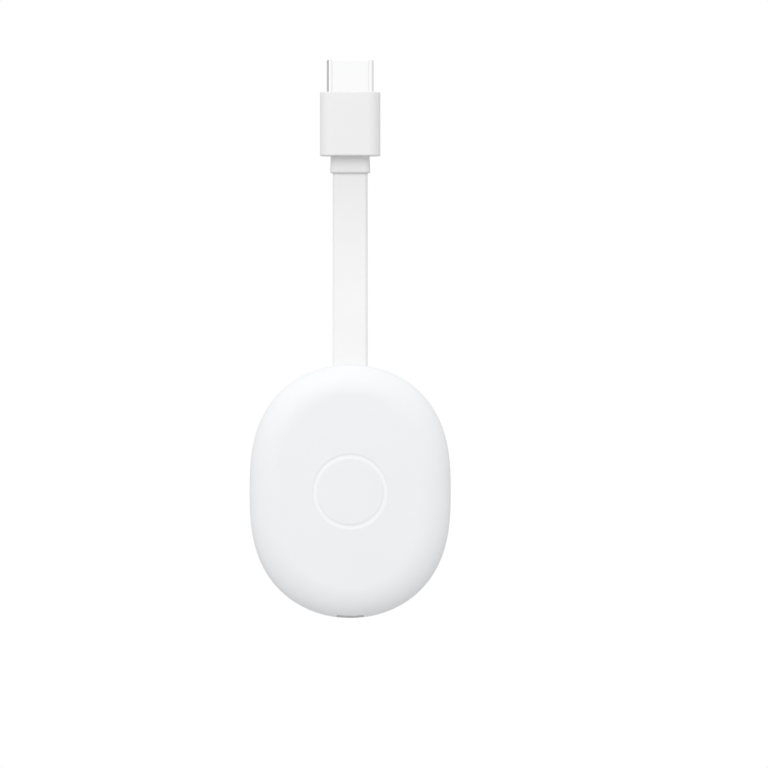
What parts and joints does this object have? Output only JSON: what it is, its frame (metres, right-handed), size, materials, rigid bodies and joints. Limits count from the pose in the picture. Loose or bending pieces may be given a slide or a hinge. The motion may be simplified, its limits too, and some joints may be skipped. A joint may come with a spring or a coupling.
{
  "type": "streaming media stick",
  "caption": "Flat oval streaming media puck on a short flat cable with a D-section video plug, a power port, a status light and a side reset button.",
  "frame": {"origin": "middle of the plug's shoulder, the top face of the plug body, where the plug seats against a screen's socket", "axes": "+Z points along the plug to its tip, so the puck hangs below; -Y is the puck's front face with the ring and +Y its back; +X is to the right seen from the front"},
  "size_m": [0.0594, 0.0122, 0.1645],
  "materials": {
    "white_casing": "fine satin moulded white plastic",
    "white_button": "fine satin moulded white plastic",
    "cable_white": "smooth soft white cable jacket",
    "plug_white": "satin soft white overmoulding",
    "plug_metal": "bright nickel plate",
    "port_steel": "dull plated steel",
    "black_insulator": "black moulded plastic",
    "gold_contact": "gold flashed spring metal",
    "board_green": "green solder mask",
    "chip_black": "black moulded chip package",
    "can_steel": "tinned steel sheet",
    "screw_steel": "plated steel",
    "heat_aluminium": "plain rolled aluminium",
    "gap_pad": "soft thermal pad",
    "coil_grey": "pressed ferrite",
    "capacitor_tan": "fired ceramic",
    "led_body": "moulded light body",
    "light_guide": "clear moulded light guide",
    "nylon_white": "moulded white nylon",
    "wire_cover": "enamel on copper wire"
  },
  "bodies": {
    "stick": {"front_cover": "white_casing", "rear_cover": "white_casing", "circuit_board": "board_green", "board_screws": "screw_steel", "processor_chip": "chip_black", "memory_chips": "chip_black", "flash_chip": "chip_black", "wireless_module": "can_steel", "power_chip": "chip_black", "power_coils": "coil_grey", "small_capacitors": "capacitor_tan", "clock_crystal": "can_steel", "shield_frame": "can_steel", "shield_lid": "can_steel", "chip_pad": "gap_pad", "front_gap_pad": "gap_pad", "front_heat_plate": "heat_aluminium", "rear_shield": "can_steel", "rear_gap_pad": "gap_pad", "rear_heat_plate": "heat_aluminium", "port_shell": "port_steel", "port_tongue": "black_insulator", "port_contacts": "gold_contact", "switch_body": "black_insulator", "switch_spring": "gold_contact", "switch_cover": "can_steel", "status_led": "led_body", "light_pipe": "light_guide", "antenna_left": "gold_contact", "antenna_right": "gold_contact", "cable_anchor": "nylon_white", "cable_wires": "wire_cover", "wire_clip": "can_steel", "flat_cable": "cable_white", "plug_neck": "plug_white", "plug_body": "plug_white", "plug_inner_mould": "nylon_white", "plug_shell": "plug_metal", "plug_insulator": "black_insulator", "plug_contacts": "gold_contact", "plug_wires": "wire_cover"},
    "button": {"reset_button": "white_button"},
    "plunger": {"switch_plunger": "nylon_white"}
  },
  "joints": [
    {"name": "button_press", "type": "slide", "parent": "stick", "child": "button", "axis": [-0.5199, 0, 0.8542], "range_m": [0, 0.0003], "stiffness_N_per_m": 400},
    {"name": "plunger_press", "type": "slide", "parent": "stick", "child": "plunger", "axis": [-0.5199, 0, 0.8542], "range_m": [0, 0.0003], "deforming": ["switch_spring"]}
  ],
  "couplings": [
    {"joint": "plunger_press", "follows": "button_press", "ratio": 1}
  ]
}
